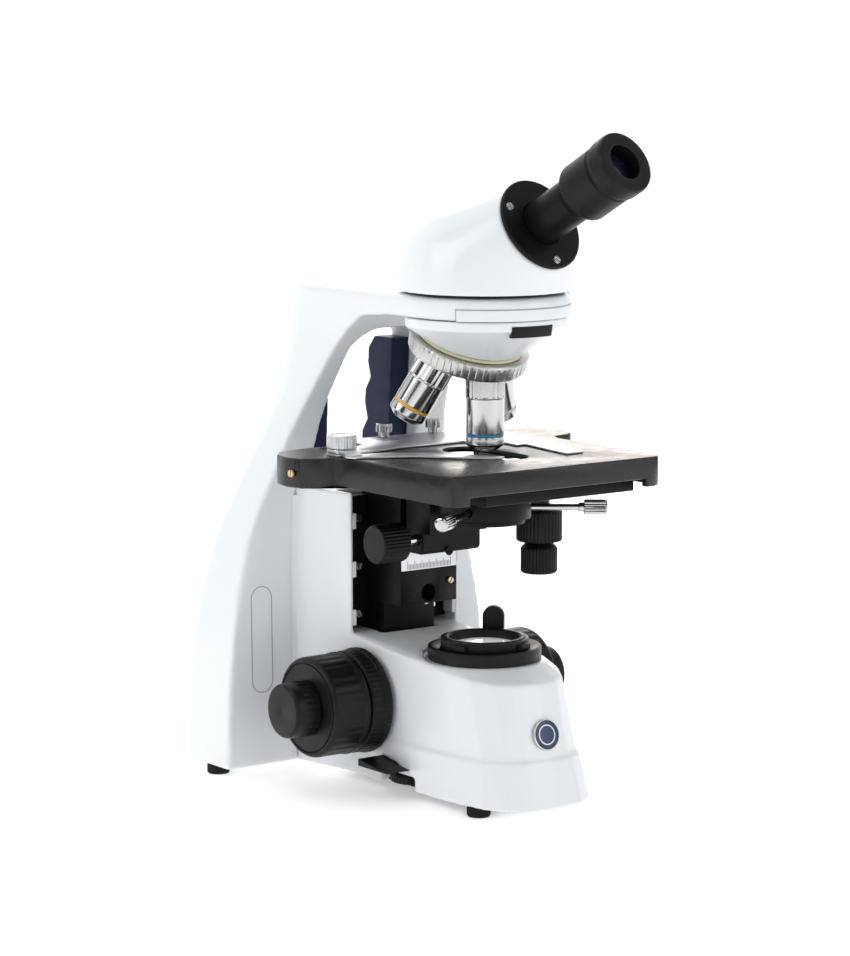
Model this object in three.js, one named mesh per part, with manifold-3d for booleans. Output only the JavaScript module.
// Monocular laboratory microscope with a mechanical stage, as an assembly of separate pieces.
// Millimetres, +Z up, +Y towards the back, and the user at -Y. Pieces are drawn around the
// optical axis (x = y = 0) with the table at z = 0, and the whole assembly is then shifted
// along Y so that the origin lies under the middle of its bounding box.
import * as THREE from "three";
import { ConvexGeometry } from "three/addons/geometries/ConvexGeometry.js";
import { mergeVertices } from "three/addons/utils/BufferGeometryUtils.js";
import Module from "manifold-3d";

const wasm = await Module();
wasm.setup();

// ---- driving dimensions -------------------------------------------------------------------
const BOX_MIDDLE_Y = 26.5; // middle of the bounding box, measured from the optical axis
const GAP = 0.3; // clearance between neighbouring pieces
const ROUND = 32; // facets of a large round piece
const SMALL = 20; // facets of a small round piece

const BASE_Z = 5.6; // underside of the castings, above the feet
const COLUMN_FRONT = 74;
const COLUMN_HALF = 38;
const RECESS_HALF = 36; // half width of the space in the column that the carriage runs in
const COLUMN_REAR = 158;
const COLUMN_TOP = 165;
const LEG_INSIDE = 45; // half width of the column between the legs
const SEAT_Z = 78.5; // where the lamp collar sits
const LEDGE_Z = 31; // top of the base's flared skirt

const STAGE_TOP = 193;
const STAGE_SKIRT = 176.5; // underside of the stage's skirt
const STAGE_SKIN = 3;
const STAGE_HALF = 73;
const STAGE_FRONT = -66.5;
const STAGE_REAR = 76;
const COAX = [60, 27]; // axis of the two stage knobs

const FOCUS_AXIS = [60, 50]; // y and z of the focus shaft
const PINION_R = 7; // pitch radius of the focus pinion: 7 mm of stage travel per radian
const PINION_TEETH = 14;
const KNOB_ROOT = 40.4; // where the knobs on the focus shaft start, from the middle plane
const KNOB_R = 28.8; // coarse knobs
const KNOB_END = 78.4; // outer face of the coarse knobs, from the middle plane

const PARFOCAL = 45; // shoulder of every objective above the specimen
const SHOULDER = STAGE_TOP + 1 + PARFOCAL;
const TURRET_TILT = 22; // degrees between the turret's axis and the upright objective
const TURRET_RADIUS = 18; // from the turret's axis to each objective's shoulder

const ARM_UNDER = 270;
const ARM_TOP = 282;
const NOSE_R = 47;
const HEAD_R = 48.6;
const HEAD_HEIGHT = 46; // of the dome above its shoulder
const HEAD_TURN = 7; // degrees: the head is left turned a little to one side
const TUBE_TILT = 30; // degrees above the horizontal
const TUBE_CROSSING = 296.5; // height where the eyepiece axis meets the optical axis

// ---- finishes -----------------------------------------------------------------------------
function finish(color, roughness, metalness) {
  return () => new THREE.MeshStandardMaterial({ color, roughness, metalness });
}
const whitePaint = finish(0xeef1f2, 0.4, 0.0);
const blackPaint = finish(0x1c1c1d, 0.45, 0.2);
const blackPlastic = finish(0x222223, 0.5, 0.0);
const rubber = finish(0x151516, 0.8, 0.0);
const navyRubber = finish(0x1d2440, 0.6, 0.0);
const chrome = finish(0xd4d6d8, 0.15, 1.0);
const steel = finish(0xa9abad, 0.35, 1.0);
const aluminium = finish(0xc6c8ca, 0.4, 0.9);
const brass = finish(0xb79a5a, 0.3, 1.0);
const glass = finish(0xdfe8ee, 0.05, 0.0);
const board = finish(0x1f5a3a, 0.6, 0.0);

// ---- solid helpers ------------------------------------------------------------------------
function signedVolume(geometry) {
  const p = geometry.getAttribute("position");
  const index = geometry.index;
  const a = new THREE.Vector3();
  const b = new THREE.Vector3();
  const c = new THREE.Vector3();
  let volume = 0;
  for (let i = 0; i < index.count; i += 3) {
    a.fromBufferAttribute(p, index.getX(i));
    b.fromBufferAttribute(p, index.getX(i + 1));
    c.fromBufferAttribute(p, index.getX(i + 2));
    volume += a.dot(b.cross(c)) / 6;
  }
  return volume;
}

// A closed geometry becomes a solid: shared corners are merged and its faces made to point out.
function solid(geometry) {
  const bare = geometry.clone();
  bare.deleteAttribute("normal");
  bare.deleteAttribute("uv");
  const merged = mergeVertices(bare, 1e-4);
  const triVerts = [];
  const index = merged.index.array;
  const outward = signedVolume(merged) > 0;
  for (let i = 0; i < index.length; i += 3) {
    const [a, b, c] = [index[i], index[i + 1], index[i + 2]];
    if (a !== b && b !== c && c !== a) triVerts.push(a, outward ? b : c, outward ? c : b);
  }
  const vertProperties = new Float32Array(merged.getAttribute("position").array);
  const mesh = new wasm.Mesh({ numProp: 3, vertProperties, triVerts: new Uint32Array(triVerts) });
  return new wasm.Manifold(mesh);
}

function toGeometry(body) {
  const mesh = body.getMesh();
  const geometry = new THREE.BufferGeometry();
  geometry.setAttribute("position", new THREE.BufferAttribute(new Float32Array(mesh.vertProperties), 3));
  geometry.setIndex(new THREE.BufferAttribute(new Uint32Array(mesh.triVerts), 1));
  geometry.computeVertexNormals();
  return geometry;
}

function join(...bodies) {
  return bodies.reduce((whole, body) => whole.add(body));
}

function cut(body, ...tools) {
  return tools.reduce((rest, tool) => rest.subtract(tool), body);
}

function box(x, y, z) {
  const geometry = new THREE.BoxGeometry(x[1] - x[0], y[1] - y[0], z[1] - z[0]);
  geometry.translate((x[0] + x[1]) / 2, (y[0] + y[1]) / 2, (z[0] + z[1]) / 2);
  return solid(geometry);
}

// An outline of [radius, height] points turned around Z.
function turned(profile, segments = ROUND) {
  const points = profile.map(([r, h]) => new THREE.Vector2(r, h));
  const first = points[0];
  const last = points[points.length - 1];
  if (first.x > 0 || last.x > 0) points.push(first.clone());
  const geometry = new THREE.LatheGeometry(points, segments);
  geometry.rotateX(Math.PI / 2);
  return solid(geometry);
}

function disc(r, z, at = [0, 0], segments = ROUND) {
  const body = turned([[0, z[0]], [r, z[0]], [r, z[1]], [0, z[1]]], segments);
  return body.translate([at[0], at[1], 0]);
}

function ring(inner, outer, z, segments = ROUND) {
  return turned([[inner, z[0]], [outer, z[0]], [outer, z[1]], [inner, z[1]]], segments);
}

// Turns a body drawn around Z so that its axis lies along X, through the given y and z.
function alongX(body, [y, z]) {
  return body.rotate([0, 90, 0]).translate([0, y, z]);
}

function shapeOf(points) {
  return new THREE.Shape(points.map(([x, y]) => new THREE.Vector2(x, y)));
}

// A plan outline extruded upwards between two heights.
function plate(outline, z) {
  const shape = Array.isArray(outline) ? shapeOf(outline) : outline;
  const options = { depth: z[1] - z[0], bevelEnabled: false, curveSegments: 8 };
  const geometry = new THREE.ExtrudeGeometry(shape, options);
  geometry.translate(0, 0, z[0]);
  return solid(geometry);
}

// A side view, given as [y, z], extruded across X.
function across(outline, x) {
  const options = { depth: x[1] - x[0], bevelEnabled: false, curveSegments: 8 };
  const geometry = new THREE.ExtrudeGeometry(shapeOf(outline), options);
  const turn = new THREE.Matrix4().makeBasis(
    new THREE.Vector3(0, 1, 0), new THREE.Vector3(0, 0, 1), new THREE.Vector3(1, 0, 0));
  geometry.applyMatrix4(turn);
  geometry.translate(x[0], 0, 0);
  return solid(geometry);
}

// A front view, given as a shape in x and z, extruded along Y.
function through(shape, y) {
  const options = { depth: y[1] - y[0], bevelEnabled: false, curveSegments: 6 };
  const geometry = new THREE.ExtrudeGeometry(shape, options);
  const turn = new THREE.Matrix4().makeBasis(
    new THREE.Vector3(1, 0, 0), new THREE.Vector3(0, 0, 1), new THREE.Vector3(0, -1, 0));
  geometry.applyMatrix4(turn);
  geometry.translate(0, y[1], 0);
  return solid(geometry);
}

function hull(points) {
  return solid(new ConvexGeometry(points));
}

// Sections with the same number of points, joined one above the other.
function loft(sections) {
  const count = sections[0].length;
  const vertices = sections.flat();
  const triangles = [];
  for (let s = 0; s + 1 < sections.length; s++) {
    for (let i = 0; i < count; i++) {
      const a = s * count + i;
      const b = s * count + (i + 1) % count;
      triangles.push(a, b, b + count, a, b + count, a + count);
    }
  }
  const top = (sections.length - 1) * count;
  for (let i = 1; i + 1 < count; i++) {
    triangles.push(0, i + 1, i);
    triangles.push(top, top + i, top + i + 1);
  }
  const geometry = new THREE.BufferGeometry();
  geometry.setAttribute("position", new THREE.Float32BufferAttribute(vertices.flat(), 3));
  geometry.setIndex(triangles);
  return solid(geometry);
}

function circlePoints(center, radius, count, u, v) {
  const points = [];
  for (let i = 0; i < count; i++) {
    const t = (2 * Math.PI * i) / count;
    const p = center.clone();
    p.addScaledVector(u, radius * Math.cos(t));
    p.addScaledVector(v, radius * Math.sin(t));
    points.push(p);
  }
  return points;
}

function flatCircle(radius, z, count = ROUND) {
  const u = new THREE.Vector3(1, 0, 0);
  const v = new THREE.Vector3(0, 1, 0);
  return circlePoints(new THREE.Vector3(0, 0, z), radius, count, u, v);
}

const assembly = new THREE.Group();
assembly.position.set(0, -BOX_MIDDLE_Y, 0);

function piece(name, body, material, parent = assembly) {
  const mesh = new THREE.Mesh(toGeometry(body), material());
  mesh.name = name;
  parent.add(mesh);
  return mesh;
}

// ---- stand: base, column, legs and arm ----------------------------------------------------
// Each level of the arm: height, half width, front face, rear edge and how far the back bulges.
const ARM_LEVELS = [
  [BASE_Z, 94, 116, 161, 3],
  [50, 91.5, 118, 161, 4],
  [80, 88.5, 118.5, 158.4, 6],
  [107, 84, 119, 156.3, 8],
  [137, 77, 119, 151, 11],
  [160, 68, 117.5, 145.8, 15],
  [172, 63.5, 115, 142.6, 18],
  [186, 58.7, 113, 137, 22],
  [201, 54.4, 107, 130, 26],
  [218, 50.6, 98, 121.5, 30],
  [232, 49, 88, 118, 30],
  [246, 47.6, 78, 115.5, 30],
  [258, 47, 66, 113.5, 30],
  [267.5, 47, 52, 112, 29],
  [ARM_UNDER, 47, 22, 110.5, 29],
];
const BACK_POINTS = 9;

// The rounded back between the two rear edges, from +x to -x.
function backCurve(half, rear, bulge, z) {
  const points = [];
  for (let i = 0; i < BACK_POINTS; i++) {
    const t = (Math.PI * i) / (BACK_POINTS - 1);
    points.push([half * Math.cos(t), rear + bulge * Math.sin(t), z]);
  }
  return points;
}

function armSection([z, half, front, rear, bulge]) {
  return [[-half, front, z], [half, front, z], ...backCurve(half, rear, bulge, z)];
}

// A level of the top of the arm, with the round nose in front of it.
function noseSection(radius, rear, bulge, z) {
  const points = [];
  for (let i = 0; i <= ROUND / 2; i++) {
    const t = Math.PI + (2 * Math.PI * i) / ROUND;
    points.push([radius * Math.cos(t), radius * Math.sin(t), z]);
  }
  return [...points, ...backCurve(radius, rear, bulge, z)];
}

const ARCH_HALF = 35;
const ARCH_TOP = 258;
const ARCH_CORNER = 14;

function archOpening() {
  const shape = new THREE.Shape();
  shape.moveTo(-ARCH_HALF, COLUMN_TOP - 10);
  shape.lineTo(ARCH_HALF, COLUMN_TOP - 10);
  shape.lineTo(ARCH_HALF, ARCH_TOP - ARCH_CORNER);
  shape.absarc(ARCH_HALF - ARCH_CORNER, ARCH_TOP - ARCH_CORNER, ARCH_CORNER, 0, Math.PI / 2, false);
  shape.absarc(ARCH_CORNER - ARCH_HALF, ARCH_TOP - ARCH_CORNER, ARCH_CORNER, Math.PI / 2, Math.PI, false);
  return through(shape, [0, 220]);
}

function armCasting() {
  const legs = loft(ARM_LEVELS.map(armSection));
  const top = loft([
    noseSection(NOSE_R, 110.5, 29, ARM_UNDER - 0.4),
    noseSection(NOSE_R, 108, 28, ARM_TOP - 3),
    noseSection(NOSE_R - 3, 105, 25, ARM_TOP),
  ]);
  const inside = LEG_INSIDE + GAP;
  const columnSpace = box([-inside, inside], [0, 220], [0, COLUMN_TOP + GAP]);
  const lightPath = disc(19, [200, 300]);
  const lockHole = alongX(disc(2.4, [15, 60], [0, 0], SMALL), [0, 276]);
  return cut(join(legs, top), archOpening(), columnSpace, lightPath, lockHole);
}

function bothSides(half) {
  return half.flatMap(([x, y, z]) => [new THREE.Vector3(x, y, z), new THREE.Vector3(-x, y, z)]);
}

// The low front block: a flared skirt with a narrow ledge round its top, and above it a body
// whose shoulder climbs towards the column.
function baseBlock() {
  const foot = [[38.4, 74], [39.2, 44], [40, 10], [38.8, -24], [35.5, -44], [29, -57], [18.5, -63.5], [0, -65.6]];
  const ledge = [[38.4, 74], [38.6, 44], [38.8, 10], [37, -24], [33.4, -40], [26.4, -51], [15.5, -57], [0, -59]];
  const waist = ledge.map(([x, y]) => [x - (y < 60 ? 1.1 : 0.4), y + (y < 0 ? 1.2 : 0)]);
  const shoulder = [[37.4, 74, 84], [37.2, 24, 79.5], [35.2, -10, 75.5], [31.5, -26, 73.5], [24.5, -38, 72],
    [14, -45.5, 71.5], [0, -48, 71.5], [35, 74, 85]];
  const at = (outline, z) => bothSides(outline.map(([x, y]) => [x, y, z]));
  const skirt = hull([...at(foot, BASE_Z), ...at(ledge, LEDGE_Z)]);
  const body = hull([...at(waist, BASE_Z + 6), ...at(waist, LEDGE_Z), ...bothSides(shoulder),
    ...flatCircle(33.4, SEAT_Z)]);
  return join(skirt, body);
}

function columnBlock() {
  const half = [[COLUMN_HALF, COLUMN_FRONT], [LEG_INSIDE, 118], [LEG_INSIDE, COLUMN_REAR]];
  const other = half.map(([x, y]) => [-x, y]).reverse();
  return plate([...half, ...other], [BASE_Z, COLUMN_TOP]);
}

const WHEEL_AT = [-25.5, 28];
const WHEEL_R = 15.3;

function baseCasting() {
  const knobPocket = alongX(disc(KNOB_R + 1.6, [KNOB_ROOT - 0.4, 60]), FOCUS_AXIS);
  const knobPocketLeft = alongX(disc(KNOB_R + 1.6, [-60, 0.4 - KNOB_ROOT]), FOCUS_AXIS);
  return cut(
    join(baseBlock(), columnBlock()),
    disc(34.6, [SEAT_Z, 120]),
    disc(19, [60, 100]),
    box([-26, 26], [-28, 66], [0, 69.9]),
    box([-33, 33], [-36, 90], [0, 7.6]),
    across([[62, 12], [93, 12], [93, 90], [69.4, 90], [69.4, 79], [62, 79]], [-19, 19]),
    box([-RECESS_HALF, RECESS_HALF], [40, 92.3], [85.2, 200]),
    box([-38, 38], [98, 200], [12, 150]),
    box([-60, -24], [12.3, 43.7], [0, 13.2]),
    across([[43.7, 16.9], [43.7, 21], [16, 16.9]], [-60, -31]),
    alongX(disc(5.6, [-80, 80], [0, 0], SMALL), FOCUS_AXIS),
    knobPocket,
    knobPocketLeft,
  );
}

function rearCover() {
  const sheet = box([-41, 41], [COLUMN_REAR + GAP, COLUMN_REAR + 2.5], [9.5, 153]);
  const inletHole = box([-14.4, 14.4], [140, 180], [27.6, 50.4]);
  const switchHole = box([-7.4, 7.4], [140, 180], [61.6, 80.4]);
  return cut(sheet, inletHole, switchHole);
}

function powerInlet() {
  const shell = box([-14, 14], [142, COLUMN_REAR + 4], [28, 50]);
  const mouth = box([-11, 11], [147, 200], [31, 47]);
  let inlet = cut(shell, mouth);
  for (const [x, z] of [[-6, 37.5], [0, 41], [6, 37.5]]) {
    inlet = inlet.add(box([x - 1, x + 1], [146, 157], [z - 2, z + 2]));
  }
  return inlet;
}

const SWITCH_PIVOT = [COLUMN_REAR - 1, 71];

function powerSwitch() {
  const [y, z] = SWITCH_PIVOT;
  return across([[y - 6, z - 8.4], [y + 2, z - 8.6], [y + 3, z], [y + 4.6, z + 8.4], [y - 6, z + 8.4]],
    [-7, 7]);
}

// Carries the pin that the brightness wheel turns on.
function bottomCover() {
  const sheet = box([-32.6, 32.6], [-35.6, 89.6], [BASE_Z, 7.3]);
  return join(sheet, disc(1.6, [7, 12.8], WHEEL_AT, SMALL));
}

function rubberFoot(x, y) {
  return turned([[0, 0], [6, 0], [6.6, 1.2], [6.6, BASE_Z - GAP], [0, BASE_Z - GAP]], SMALL)
    .translate([x, y, 0]);
}

function driverBoard() {
  return join(
    box([-28, 28], [110, 111.6], [30, 110]),
    box([-20, -4], [111.5, 124], [60, 84]),
    box([6, 18], [111.5, 119], [40, 56]),
  );
}

const GRIP_THICK = 12.7;

function gripPad(side) {
  const ribs = [];
  const bottom = 172;
  const pitch = 24.6;
  for (let i = 0; i < 3; i++) {
    const z = bottom + pitch * i;
    const rear = 147 - 0.13 * (z - bottom);
    ribs.push([rear - 2.5, z], [rear, z + 0.35 * pitch], [rear - 0.5, z + 0.7 * pitch]);
  }
  const outline = [[120, bottom], ...ribs, [134, bottom + 3 * pitch], [116, bottom + 3 * pitch]];
  const inner = ARCH_HALF - GAP;
  return across(outline, side > 0 ? [inner - GRIP_THICK, inner] : [-inner, GRIP_THICK - inner]);
}

function buildStand() {
  piece("base_casting", baseCasting(), whitePaint);
  piece("arm_casting", armCasting(), whitePaint);
  piece("rear_cover", rearCover(), blackPaint);
  piece("power_inlet", powerInlet(), blackPlastic);
  piece("power_switch", powerSwitch(), blackPlastic);
  piece("driver_board", driverBoard(), board);
  piece("bottom_cover", bottomCover(), blackPaint);
  piece("foot_front_left", rubberFoot(-30.5, -34.5), rubber);
  piece("foot_front_right", rubberFoot(30.5, -34.5), rubber);
  piece("foot_rear_left", rubberFoot(-86, 138), rubber);
  piece("foot_rear_right", rubberFoot(86, 138), rubber);
  piece("grip_left", gripPad(-1), navyRubber);
  piece("grip_right", gripPad(1), navyRubber);
  const rail = (side) => {
    const x = [18.1, RECESS_HALF - 0.4].map((value) => side * value).sort((a, b) => a - b);
    return box(x, [83.2, 92], [87, 162]);
  };
  piece("rail_left", rail(-1), blackPaint);
  piece("rail_right", rail(1), blackPaint);
}

// ---- lamp, filter ring and brightness wheel -----------------------------------------------
function lampModule() {
  const cup = [[0, 38], [21, 38], [21, 69.5], [18, 69.5], [17, 48], [0, 48]];
  const emitter = disc(5, [47.5, 50], [0, 0], SMALL);
  return join(turned(cup), emitter);
}

function filterRing() {
  const rim = ring(19.8, 24.4, [81.1, 90.5]);
  const bridge = box([22, 30], [-5, 5], [86.2, 89.5]);
  const tab = box([26.6, 30.8], [-6, 6], [86.2, 98]);
  const tabTop = alongX(disc(6, [26.6, 30.8], [0, 0], SMALL), [0, 97]);
  const handle = cut(join(bridge, tab, tabTop), disc(22, [80, 110]));
  const lug = box([23, 27.2], [-4, 4], [86.2, 89]);
  return join(rim, handle.rotate([0, 0, 42]), lug.rotate([0, 0, 200]), lug.rotate([0, 0, 290]));
}

function buildLamp() {
  piece("lamp_module", lampModule(), aluminium);
  const collar = [[19.6, 78.8], [31.5, 78.8], [31.5, 85.5], [24.8, 85.5], [24.8, 80.8], [19.6, 80.8]];
  piece("lamp_collar", turned(collar), blackPlastic);
  piece("filter_ring", filterRing(), blackPlastic);
  piece("field_lens", turned([[0, 83], [19.4, 83], [19.4, 86.4], [12, 87.8], [0, 88.4]]), glass);
  piece("brightness_wheel", ring(2, WHEEL_R, [7.7, 12.6]).translate([...WHEEL_AT, 0]), blackPlastic);
}

// ---- focus drive --------------------------------------------------------------------------
// A gear around Z with straight-sided teeth, thin enough to run with backlash.
function gear(teeth, root, tip, z) {
  const outline = [];
  const pitch = (2 * Math.PI) / teeth;
  for (let i = 0; i < teeth; i++) {
    const middle = i * pitch;
    for (const [r, part] of [[root, -0.26], [tip, -0.11], [tip, 0.11], [root, 0.26]]) {
      const t = middle + part * pitch;
      outline.push([r * Math.cos(t), r * Math.sin(t)]);
    }
  }
  return plate(outline, z);
}

function coarseShaft() {
  const tube = ring(3, 5.2, [-KNOB_END, KNOB_END], SMALL);
  const half = Math.PI / PINION_TEETH;
  const teeth = cut(gear(PINION_TEETH, 5.9, 7.8, [-4, 4]), disc(4, [-6, 6], [0, 0], SMALL));
  return alongX(join(tube, teeth.rotate([0, 0, (half * 180) / Math.PI])), FOCUS_AXIS);
}

// The coarse knob is nearly straight and ends in a wide chamfer; it leaves room for the shaft.
function coarseKnob(side, root) {
  const profile = [[5.5, root], [KNOB_R, root], [KNOB_R, root + 6], [KNOB_R - 1, KNOB_END - 4],
    [KNOB_R - 3, KNOB_END], [5.5, KNOB_END]];
  return alongX(turned(profile.map(([r, x]) => [r, side * x])), FOCUS_AXIS);
}

function fineKnob(side) {
  const root = KNOB_END + 0.6;
  const end = root + 16;
  const profile = [[2.7, root], [15.6, root], [15.4, end - 1.5], [14, end], [0, end], [0, root + 8],
    [2.7, root + 8]];
  return alongX(turned(profile.map(([r, x]) => [r, side * x])), FOCUS_AXIS);
}

// The rack faces the pinion, so its teeth point to -Y; a tooth gap faces each pinion tooth.
function focusRack() {
  const pitch = (2 * Math.PI * PINION_R) / PINION_TEETH;
  const line = FOCUS_AXIS[0] + PINION_R;
  const [low, high] = [43, 78.4];
  const outline = [[line + 2.5, low], [line + 2.5, high], [line + 1.1, high]];
  for (let i = 8; i >= -2; i--) {
    const z = FOCUS_AXIS[1] + (i + 0.5) * pitch;
    for (const [y, part] of [[1.1, 0.22], [-0.7, 0.1], [-0.7, -0.1], [1.1, -0.22]]) {
      const at = z + part * pitch;
      if (at < high && at > low) outline.push([line + y, at]);
    }
  }
  outline.push([line + 1.1, low]);
  return across(outline, [-4.5, 4.5]);
}

function stageCarriage() {
  const block = box([-19.75, 19.75], [51.7, 82.7], [102, 170]);
  const slide = box([-17.5, 17.5], [69.8, 91.8], [42, 168]);
  const stopHole = disc(4.9, [0, 20], [0, 0], SMALL).rotate([90, 0, 0]).translate([0, 62, 108]);
  return cut(join(block, slide), stopHole);
}

const TENSION_END = 53.4; // outer face of the tension ring, from the middle plane
const FINE_SHAFT = 86.4;

function buildFocus() {
  piece("coarse_shaft", coarseShaft(), steel);
  piece("coarse_knob_left", coarseKnob(-1, TENSION_END + 0.4), blackPlastic);
  piece("coarse_knob_right", coarseKnob(1, KNOB_ROOT), blackPlastic);
  piece("fine_shaft", alongX(disc(2.4, [-FINE_SHAFT, FINE_SHAFT], [0, 0], SMALL), FOCUS_AXIS), steel);
  piece("fine_knob_left", fineKnob(-1), blackPlastic);
  piece("fine_knob_right", fineKnob(1), blackPlastic);
  const tension = turned([[5.6, -TENSION_END], [KNOB_R, -TENSION_END], [KNOB_R + 0.9, -KNOB_ROOT - 3],
    [KNOB_R + 0.9, -KNOB_ROOT], [5.6, -KNOB_ROOT]]);
  piece("tension_ring", alongX(tension, FOCUS_AXIS), blackPlastic);
  piece("stage_carriage", stageCarriage(), blackPaint);
  piece("focus_rack", focusRack(), brass);
}

// ---- stage --------------------------------------------------------------------------------
function mirrored(half) {
  return [...half, ...half.map(([x, y]) => [-x, y]).reverse()];
}

function stageOutline() {
  return mirrored([
    [66, STAGE_FRONT], [70.5, STAGE_FRONT + 2.5], [STAGE_HALF, STAGE_FRONT + 8], [STAGE_HALF, 26],
    [77, 34], [88, 36], [94.5, 41], [97, 52], [94.5, 64], [88, 72], [76, 75.5], [60, STAGE_REAR],
  ]);
}

const SLOT_HALF = 13;
const SLOT_END = 17.5;

// The oblong light opening, long along Y so that it clears the beam wherever the stage is moved.
function stadium(half, end) {
  const shape = new THREE.Shape();
  shape.moveTo(half, -end);
  shape.lineTo(half, end);
  shape.absarc(0, end, half, 0, Math.PI, false);
  shape.lineTo(-half, -end);
  shape.absarc(0, -end, half, Math.PI, 2 * Math.PI, false);
  return shape;
}

function stagePlate() {
  const under = STAGE_TOP - STAGE_SKIN;
  const outer = plate(stageOutline(), [STAGE_SKIRT, STAGE_TOP]);
  const neck = disc(6, [155.9, under + 1], COAX, SMALL);
  return join(
    cut(
      outer,
      box([-68.6, 68.6], [-62, 71.5], [100, under]),
      box([-50, 50], [60, 100], [100, under]),
      box([-91, -60], [41, 67], [100, under]),
      box([60, 91], [41, 67], [100, under]),
      box([-61, 60], [-100, -60], [100, 181]),
      plate(stadium(SLOT_HALF, SLOT_END), [150, 220]),
    ),
    neck,
  );
}

function stageBase() {
  const deck = plate([[-44, -57], [59, -57], [59, -48], [44, -46], [44, 72], [-44, 72]], [173.5, 180]);
  const pad = box([-19, 19], [53, 72], [170.3, 174]);
  return cut(join(deck, pad), disc(18.5, [160, 200]));
}

const FINGER_PIVOT = [-68, 40];
const HOLDER_Z = [STAGE_TOP + GAP, STAGE_TOP + GAP + 1];
const SCREW_PLACES = { left: [-10.8, 79.3], right: [23.4, 79.3] };

function slideHolder() {
  const outline = [
    [-76.5, 40], [-73, 47.5], [-60, 49], [-38, 62], [-35, 84], [48, 84], [54, 70], [60, 58],
    [57, 12], [43, -33], [30, -34], [36, 10], [30, 9], [31, 22], [15, 41], [-28, 41], [-58, 33],
    [-68, 31.5], [-75, 35],
  ];
  const sheet = plate(outline, HOLDER_Z);
  const runner = box([-32, 44], [STAGE_REAR + GAP, 83], [184, HOLDER_Z[0] + 0.2]);
  const holes = Object.values(SCREW_PLACES).map((at) => disc(2.3, [150, 220], at, SMALL));
  return cut(join(sheet, runner), ...holes, disc(2.7, [150, 220], FINGER_PIVOT, SMALL));
}

function slideFinger() {
  const [px, py] = FINGER_PIVOT;
  const blade = [[-64, 29], [-47, 26], [-30, 12], [-17, -6], [-6, -25], [-9, -27], [-14, -26],
    [-27, -12], [-44, 6], [-60, 14], [-73, 21], [-75, 27]];
  const [low, high] = HOLDER_Z;
  const sheet = plate(blade, [low, high]);
  const step = plate([[-74, 27.5], [-65, 26.5], [-65, 30.8], [-74, 30.8]], [low, high + 2.4]);
  const hub = disc(8, [high + 0.4, high + 2.4], [px, py], SMALL);
  const link = box([-74, -63], [27.5, 38], [high + 0.4, high + 2.4]);
  return cut(join(sheet, step, hub, link), disc(2.7, [150, 220], FINGER_PIVOT, SMALL));
}

function fingerKnob() {
  const low = HOLDER_Z[1] + 2.8;
  return turned([[0, low - 3.2], [2.3, low - 3.2], [2.3, low], [8.2, low], [8.2, low + 6.6],
    [7.6, low + 7.2], [0, low + 7.2]], SMALL).translate([...FINGER_PIVOT, 0]);
}

function holderScrew([x, y]) {
  const low = HOLDER_Z[1] + 0.4;
  return turned([[0, low - 8], [2, low - 8], [2, low], [3, low], [3, low + 2.6], [4.6, low + 2.8],
    [4.6, low + 7.6], [0, low + 7.6]], SMALL).translate([x, y, 0]);
}

function buildStage() {
  piece("stage_plate", stagePlate(), blackPaint);
  piece("stage_base", stageBase(), blackPaint);
  piece("slide_holder", slideHolder(), aluminium);
  piece("slide_finger", slideFinger(), aluminium);
  piece("finger_knob", fingerKnob(), aluminium);
  for (const [side, at] of Object.entries(SCREW_PLACES)) {
    piece(`holder_screw_${side}`, holderScrew(at), chrome);
  }
  const upper = turned([[3.4, 135.2], [13.1, 135.2], [13.1, 152.6], [11.6, 155.5], [3.4, 155.5]]);
  piece("stage_y_knob", upper.translate([...COAX, 0]), blackPlastic);
  const lower = turned([[0, 116.8], [9.8, 116.8], [10.5, 118], [10.5, 131.2], [7.4, 134.8], [3, 134.8],
    [3, 151], [0, 151]]);
  piece("stage_x_knob", lower.translate([...COAX, 0]), blackPlastic);
}

// ---- condenser ----------------------------------------------------------------------------
const CENTRING_TURN = { left: 212, right: -37 }; // degrees from +X, seen from above
const CENTRING_Z = 163;
const CONDENSER_KNOB = [36, 142];

function condenserBracket() {
  const block = across([[30, 136], [32, 134], [51.2, 134], [51.2, 147], [30, 147]], [-19.8, 19.8]);
  const web = box([-19.8, 19.8], [24, 46], [146, 168]);
  const cup = turned([[18.6, 158], [25.6, 158], [25.6, 170], [22.7, 170], [22.7, 160], [18.6, 160]]);
  const screwHoles = Object.values(CENTRING_TURN).map((turn) =>
    disc(2.2, [20, 40], [0, 0], SMALL).rotate([0, 90, 0]).rotate([0, 0, turn]).translate([0, 0, CENTRING_Z]));
  const knobHole = alongX(disc(3.2, [-30, -12], [0, 0], SMALL), CONDENSER_KNOB);
  return cut(join(block, cup, web), ...screwHoles, knobHole);
}

function condenserBody() {
  return turned([[13, 154.5], [18.2, 154.5], [18.2, 160.3], [22.3, 160.3], [22.3, 168], [17, 169.5], [17, 178],
    [12.3, 180], [12.3, 188.5], [10.9, 188.5], [10.9, 179], [13, 177]]);
}

function irisLever() {
  const band = ring(18.6, 22.2, [154.9, 157.6]);
  const arm = box([21, 28], [-1.5, 1.5], [155.2, 157.4]);
  const tip = disc(2.4, [153.8, 157.6], [28.5, 0], SMALL);
  return join(band, arm, tip);
}

function centringScrew(turn) {
  const body = turned([[0, 23.2], [1.8, 23.2], [1.8, 54.6], [4.3, 54.6], [4.3, 66.5], [3.4, 67.7],
    [0, 67.7]], SMALL);
  return body.rotate([0, 90, 0]).rotate([0, 0, turn]).translate([0, 0, CENTRING_Z]);
}

function condenserKnob() {
  const profile = [[0, -49.4], [10.4, -49.4], [10.9, -48.6], [10.9, -31.4], [2.8, -31.4], [2.8, -12.6],
    [0, -12.6]];
  return alongX(turned(profile, 24), CONDENSER_KNOB);
}

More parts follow.
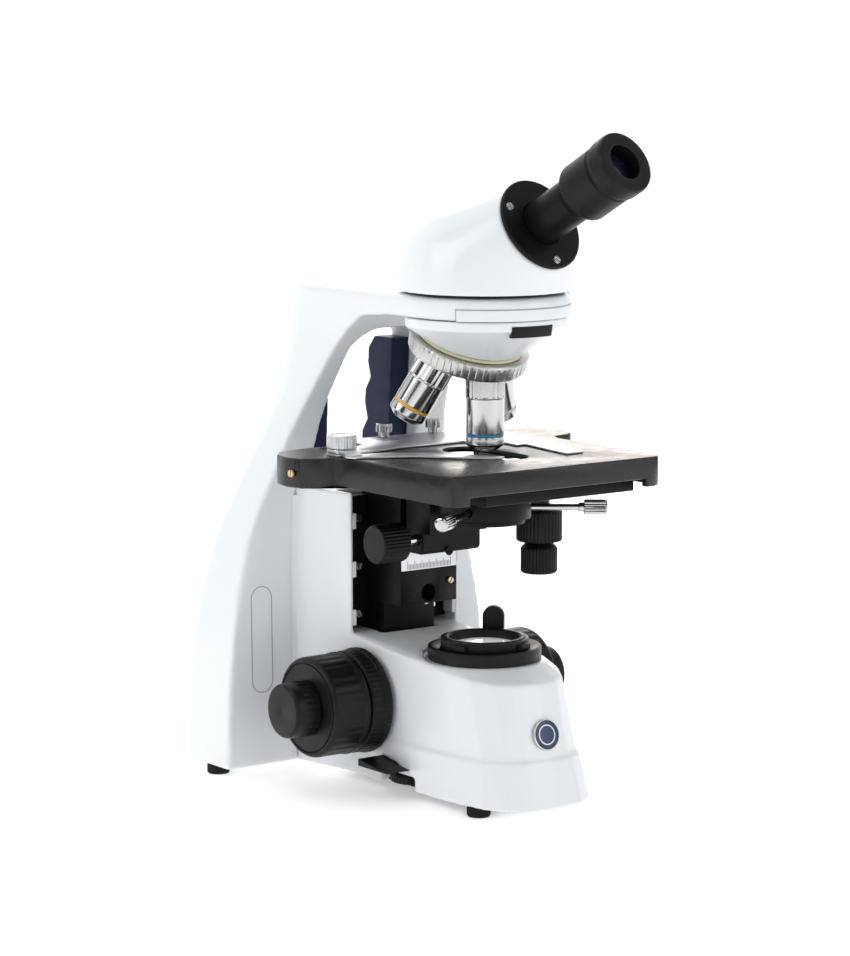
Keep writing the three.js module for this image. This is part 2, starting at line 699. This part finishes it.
function buildCondenser() {
  piece("condenser_bracket", condenserBracket(), blackPaint);
  piece("condenser_body", condenserBody(), blackPaint);
  piece("condenser_lens", turned([[0, 180.4], [10.5, 180.4], [10.5, 187], [6, 188.6], [0, 189.1]], 24), glass);
  piece("iris_lever", irisLever(), blackPaint);
  for (const [side, turn] of Object.entries(CENTRING_TURN)) {
    piece(`centring_screw_${side}`, centringScrew(turn), chrome);
  }
  piece("condenser_knob", condenserKnob(), blackPlastic);
}

// ---- nosepiece ----------------------------------------------------------------------------
// The turret is drawn around Z with its objectives' shoulder plane at z = 0 and hanging down.
const tilt = THREE.MathUtils.degToRad(TURRET_TILT);
const turretGroup = new THREE.Group();
turretGroup.position.set(0, TURRET_RADIUS * Math.cos(tilt), SHOULDER + TURRET_RADIUS * Math.sin(tilt));
turretGroup.rotation.set(tilt, 0, 0);
assembly.add(turretGroup);

const OBJECTIVES = [
  { name: "objective_40x", turn: -90, length: 44.3 },
  { name: "objective_100x", turn: 0, length: 44.3 },
  { name: "objective_4x", turn: 90, length: 26 },
  { name: "objective_10x", turn: 180, length: 40 },
];

// Places a body, drawn hanging from z = 0, at an objective's seat on the turret.
function onTurret(body, turn) {
  return body.rotate([0, -TURRET_TILT, 0]).translate([TURRET_RADIUS, 0, 0]).rotate([0, 0, turn]);
}

function turretRing() {
  const slope = Math.tan(tilt);
  const face = (r) => (r - TURRET_RADIUS) * slope;
  const body = turned([[4.6, face(4.6)], [30.4, face(30.4)], [31.2, 0], [33.2, 0], [33.4, 8.4],
    [32.6, 9], [4.6, 9]]);
  const holes = OBJECTIVES.map(({ turn }) => onTurret(disc(9.1, [-12, 16], [0, 0], SMALL), turn));
  return cut(body, ...holes);
}

function objective(length) {
  return turned([[7.6, 5], [8.7, 5], [8.7, -0.3], [10.3, -0.3], [10.3, -4.6], [10.9, -4.9],
    [10.9, -15.6], [10.6, -16], [10.6, -(length - 3.4)], [8.6, -(length - 1.6)], [6, -length], [3, -length],
    [3, -(length - 1)], [7.6, -(length - 6)]], 24);
}

function noseHousing() {
  const up = new THREE.Vector3(0, -Math.sin(tilt), Math.cos(tilt));
  const v = new THREE.Vector3(0, Math.cos(tilt), Math.sin(tilt));
  const u = new THREE.Vector3(1, 0, 0);
  const low = turretGroup.position.clone().addScaledVector(up, 11.6);
  const rim = [...flatCircle(NOSE_R - 1.4, ARM_UNDER - 0.9), ...flatCircle(NOSE_R - 1.6, ARM_UNDER - 6)];
  const points = [...circlePoints(low, 30.4, ROUND, u, v), ...rim.filter((p) => p.y < 20)];
  const pivot = disc(4, [-2, 14], [0, 0], SMALL).rotate([TURRET_TILT, 0, 0])
    .translate(turretGroup.position.toArray());
  return cut(join(hull(points), pivot), disc(9, [200, 300], [0, 0], SMALL));
}

function buildNosepiece() {
  piece("nose_housing", noseHousing(), whitePaint);
  piece("race_ring", ring(25, 29.8, [9.3, 11.2]), brass, turretGroup);
  piece("turret", turretRing(), steel, turretGroup);
  for (const { name, turn, length } of OBJECTIVES) {
    piece(name, onTurret(objective(length), turn), chrome, turretGroup);
  }
}

// ---- head and eyepiece --------------------------------------------------------------------
const headGroup = new THREE.Group();
headGroup.rotation.set(0, 0, THREE.MathUtils.degToRad(HEAD_TURN));
assembly.add(headGroup);
const tubeGroup = new THREE.Group(); // Z runs out along the eyepiece tube
tubeGroup.position.set(0, 0, TUBE_CROSSING);
tubeGroup.rotation.set(THREE.MathUtils.degToRad(90 - TUBE_TILT), 0, 0);
headGroup.add(tubeGroup);

const FLANGE = [46.2, 49.2]; // distances along the tube from the crossing point
const TUBE_END = 79;

const HEAD_FACETS = 44;
const DOME_FOOT = 288; // height where the dome starts to close in
const DOME_STEPS = 8;
const DOME_FULLNESS = 2.2; // 2 would be an ellipse

// The dome, with the face that carries the tube flange; a smaller copy hollows it out.
function headForm(wall, floor) {
  const lean = THREE.MathUtils.degToRad(TUBE_TILT);
  const axis = new THREE.Vector3(0, -Math.cos(lean), Math.sin(lean));
  const v = new THREE.Vector3(0, Math.sin(lean), Math.cos(lean));
  const points = [];
  points.push(...flatCircle(HEAD_R - wall, floor, HEAD_FACETS));
  for (let i = 0; i <= DOME_STEPS; i++) {
    const climb = Math.sin(THREE.MathUtils.degToRad((80 * i) / DOME_STEPS));
    const radius = HEAD_R * Math.pow(1 - Math.pow(climb, DOME_FULLNESS), 1 / DOME_FULLNESS);
    points.push(...flatCircle(radius - wall, DOME_FOOT + HEAD_HEIGHT * climb - 0.8 * wall, HEAD_FACETS));
  }
  const face = new THREE.Vector3(0, 0, TUBE_CROSSING).addScaledVector(axis, FLANGE[0] - 0.4 - wall);
  const u = new THREE.Vector3(1, 0, 0);
  for (const p of circlePoints(face, 26 - wall, HEAD_FACETS, u, v)) {
    points.push(new THREE.Vector3(p.x, p.y, Math.min(p.z, 337 - wall)));
  }
  return hull(points);
}

function headShell() {
  const bore = disc(12.9, [20, 60], [0, 0], ROUND).rotate([90 - TUBE_TILT, 0, 0])
    .translate([0, 0, TUBE_CROSSING]);
  return cut(headForm(0, ARM_TOP + 1.3), headForm(3.6, ARM_TOP - 2), bore);
}

function eyepiece() {
  const end = TUBE_END;
  return turned([[8.6, 54], [10.6, 54], [10.6, end + GAP], [12.6, end + GAP], [16.5, end + 5],
    [16.7, end + 27], [15.8, end + 27.6], [15.8, end + 29.4], [17.5, end + 30], [17.7, end + 39],
    [17.1, end + 40.5], [10.4, end + 40.5], [9.9, end + 39.8], [9.9, end + 36], [11, end + 36],
    [11, end + 28.4], [8.6, end + 28.4]]);
}

function buildHead() {
  piece("head_ring", ring(20, 44.4, [ARM_TOP + GAP, ARM_TOP + 2.2]), blackPaint, headGroup);
  piece("head_shell", headShell(), whitePaint, headGroup);
  const prism = across([[-12, 289], [12, 289], [14, 299], [-3, 319], [-12, 311]], [-10, 10]);
  piece("head_prism", prism, glass, headGroup);
  piece("tube_flange", ring(12.8, 26.5, FLANGE), blackPaint, tubeGroup);
  piece("eyepiece_tube", ring(11, 12.4, [34, TUBE_END]), blackPaint, tubeGroup);
  piece("eyepiece", eyepiece(), blackPlastic, tubeGroup);
  const lens = [[0, TUBE_END + 28.8], [10.4, TUBE_END + 28.8], [10.4, TUBE_END + 31.5],
    [6, TUBE_END + 33.4], [0, TUBE_END + 34]];
  piece("eye_lens", turned(lens), glass, tubeGroup);
  const lock = turned([[0, 24], [2, 24], [2, 47.8], [5.6, 47.8], [5.6, 55], [4.8, 56], [0, 56]], SMALL);
  piece("head_lock_screw", alongX(lock, [0, 276]), chrome);
}

buildStand();
buildLamp();
buildFocus();
buildStage();
buildCondenser();
buildNosepiece();
buildHead();

export default assembly;
